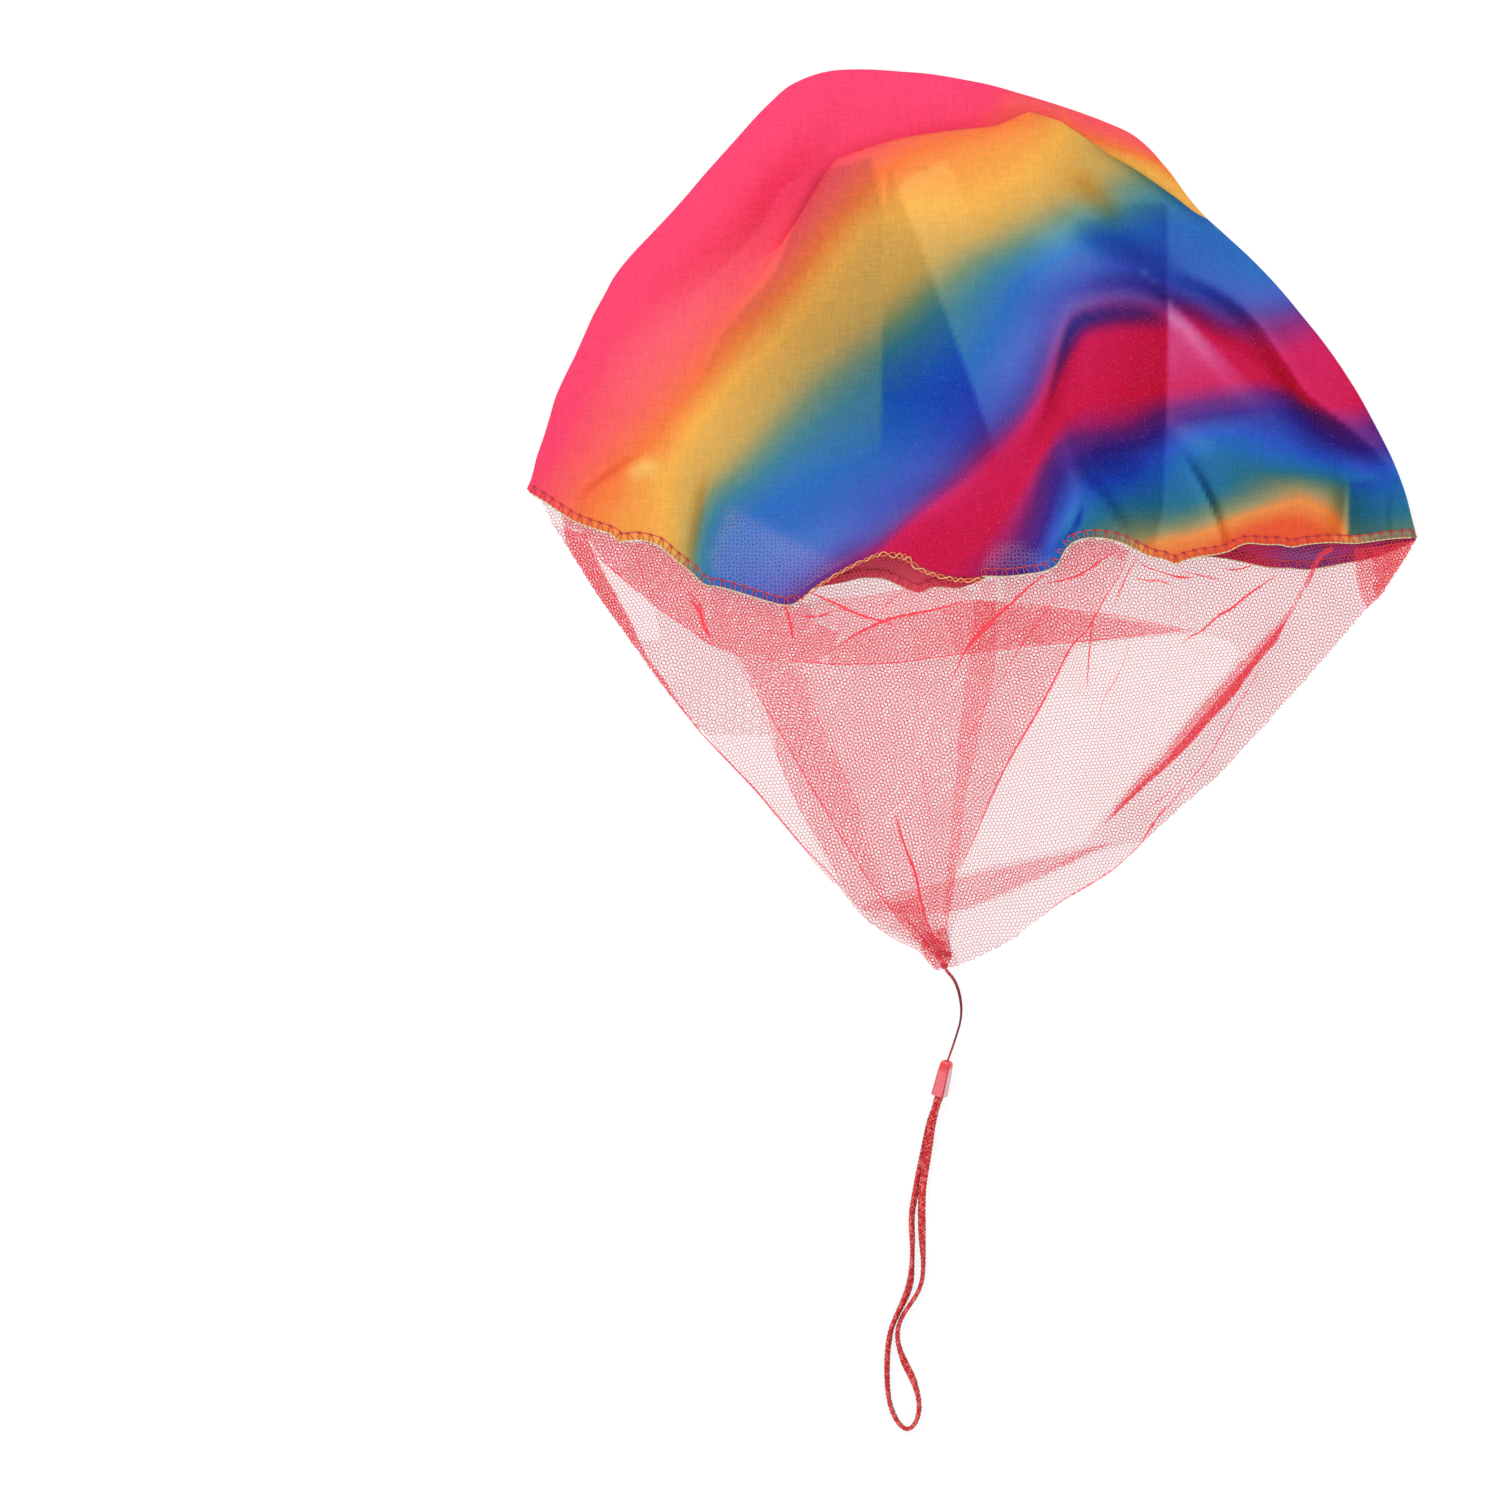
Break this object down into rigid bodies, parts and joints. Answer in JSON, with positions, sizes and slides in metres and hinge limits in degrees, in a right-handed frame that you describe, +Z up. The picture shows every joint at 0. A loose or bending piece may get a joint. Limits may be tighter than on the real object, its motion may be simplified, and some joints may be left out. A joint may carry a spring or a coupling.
{
  "type": "toy parachute",
  "caption": "Toy parachute: dyed cloth canopy laid flat, net skirt gathered to a doubled cord, moulded ferrule and braided strap loop.",
  "frame": {"origin": "bottom centre of the laid canopy and net, on the surface they lie on", "axes": "+Z up from the surface, +Y from the net towards the top of the canopy, +X to the right seen from above"},
  "size_m": [0.3122, 0.4757, 0.0271],
  "materials": {
    "dyed_cloth": "sheer dyed cloth, bands of pink, orange, yellow, green, blue, purple and crimson",
    "seam_thread": "overlock thread, red with a yellow-green edge",
    "red_net": "fine hexagonal net",
    "red_cord": "thin twisted cord",
    "red_plastic": "translucent moulded plastic, satin",
    "red_braid": "flat braid"
  },
  "bodies": {
    "canopy_and_net": {"canopy": "dyed_cloth", "hem_seam": "seam_thread", "net_skirt": "red_net", "cord_hitch": "red_cord"},
    "knot": {"cord_knot": "red_cord"},
    "cord": {"tie_cord": "red_cord"},
    "ferrule_and_strap": {"ferrule": "red_plastic", "cord_stop_knot": "red_cord", "strap_loop": "red_braid"}
  },
  "joints": [
    {"name": "knot_swing", "type": "hinge", "parent": "canopy_and_net", "child": "knot", "pos_m": [-0.00965, -0.15752, 0.0028], "axis": [0, 0, 1], "range_deg": [-50, 50]},
    {"name": "cord_lift", "type": "hinge", "parent": "knot", "child": "cord", "pos_m": [-0.00965, -0.15752, 0.0028], "axis": [-1, 0, 0], "range_deg": [0, 80]},
    {"name": "ferrule_swing", "type": "hinge", "parent": "cord", "child": "ferrule_and_strap", "pos_m": [-0.00858, -0.19058, 0.0061], "axis": [0, 0, 1], "range_deg": [-50, 50]}
  ]
}
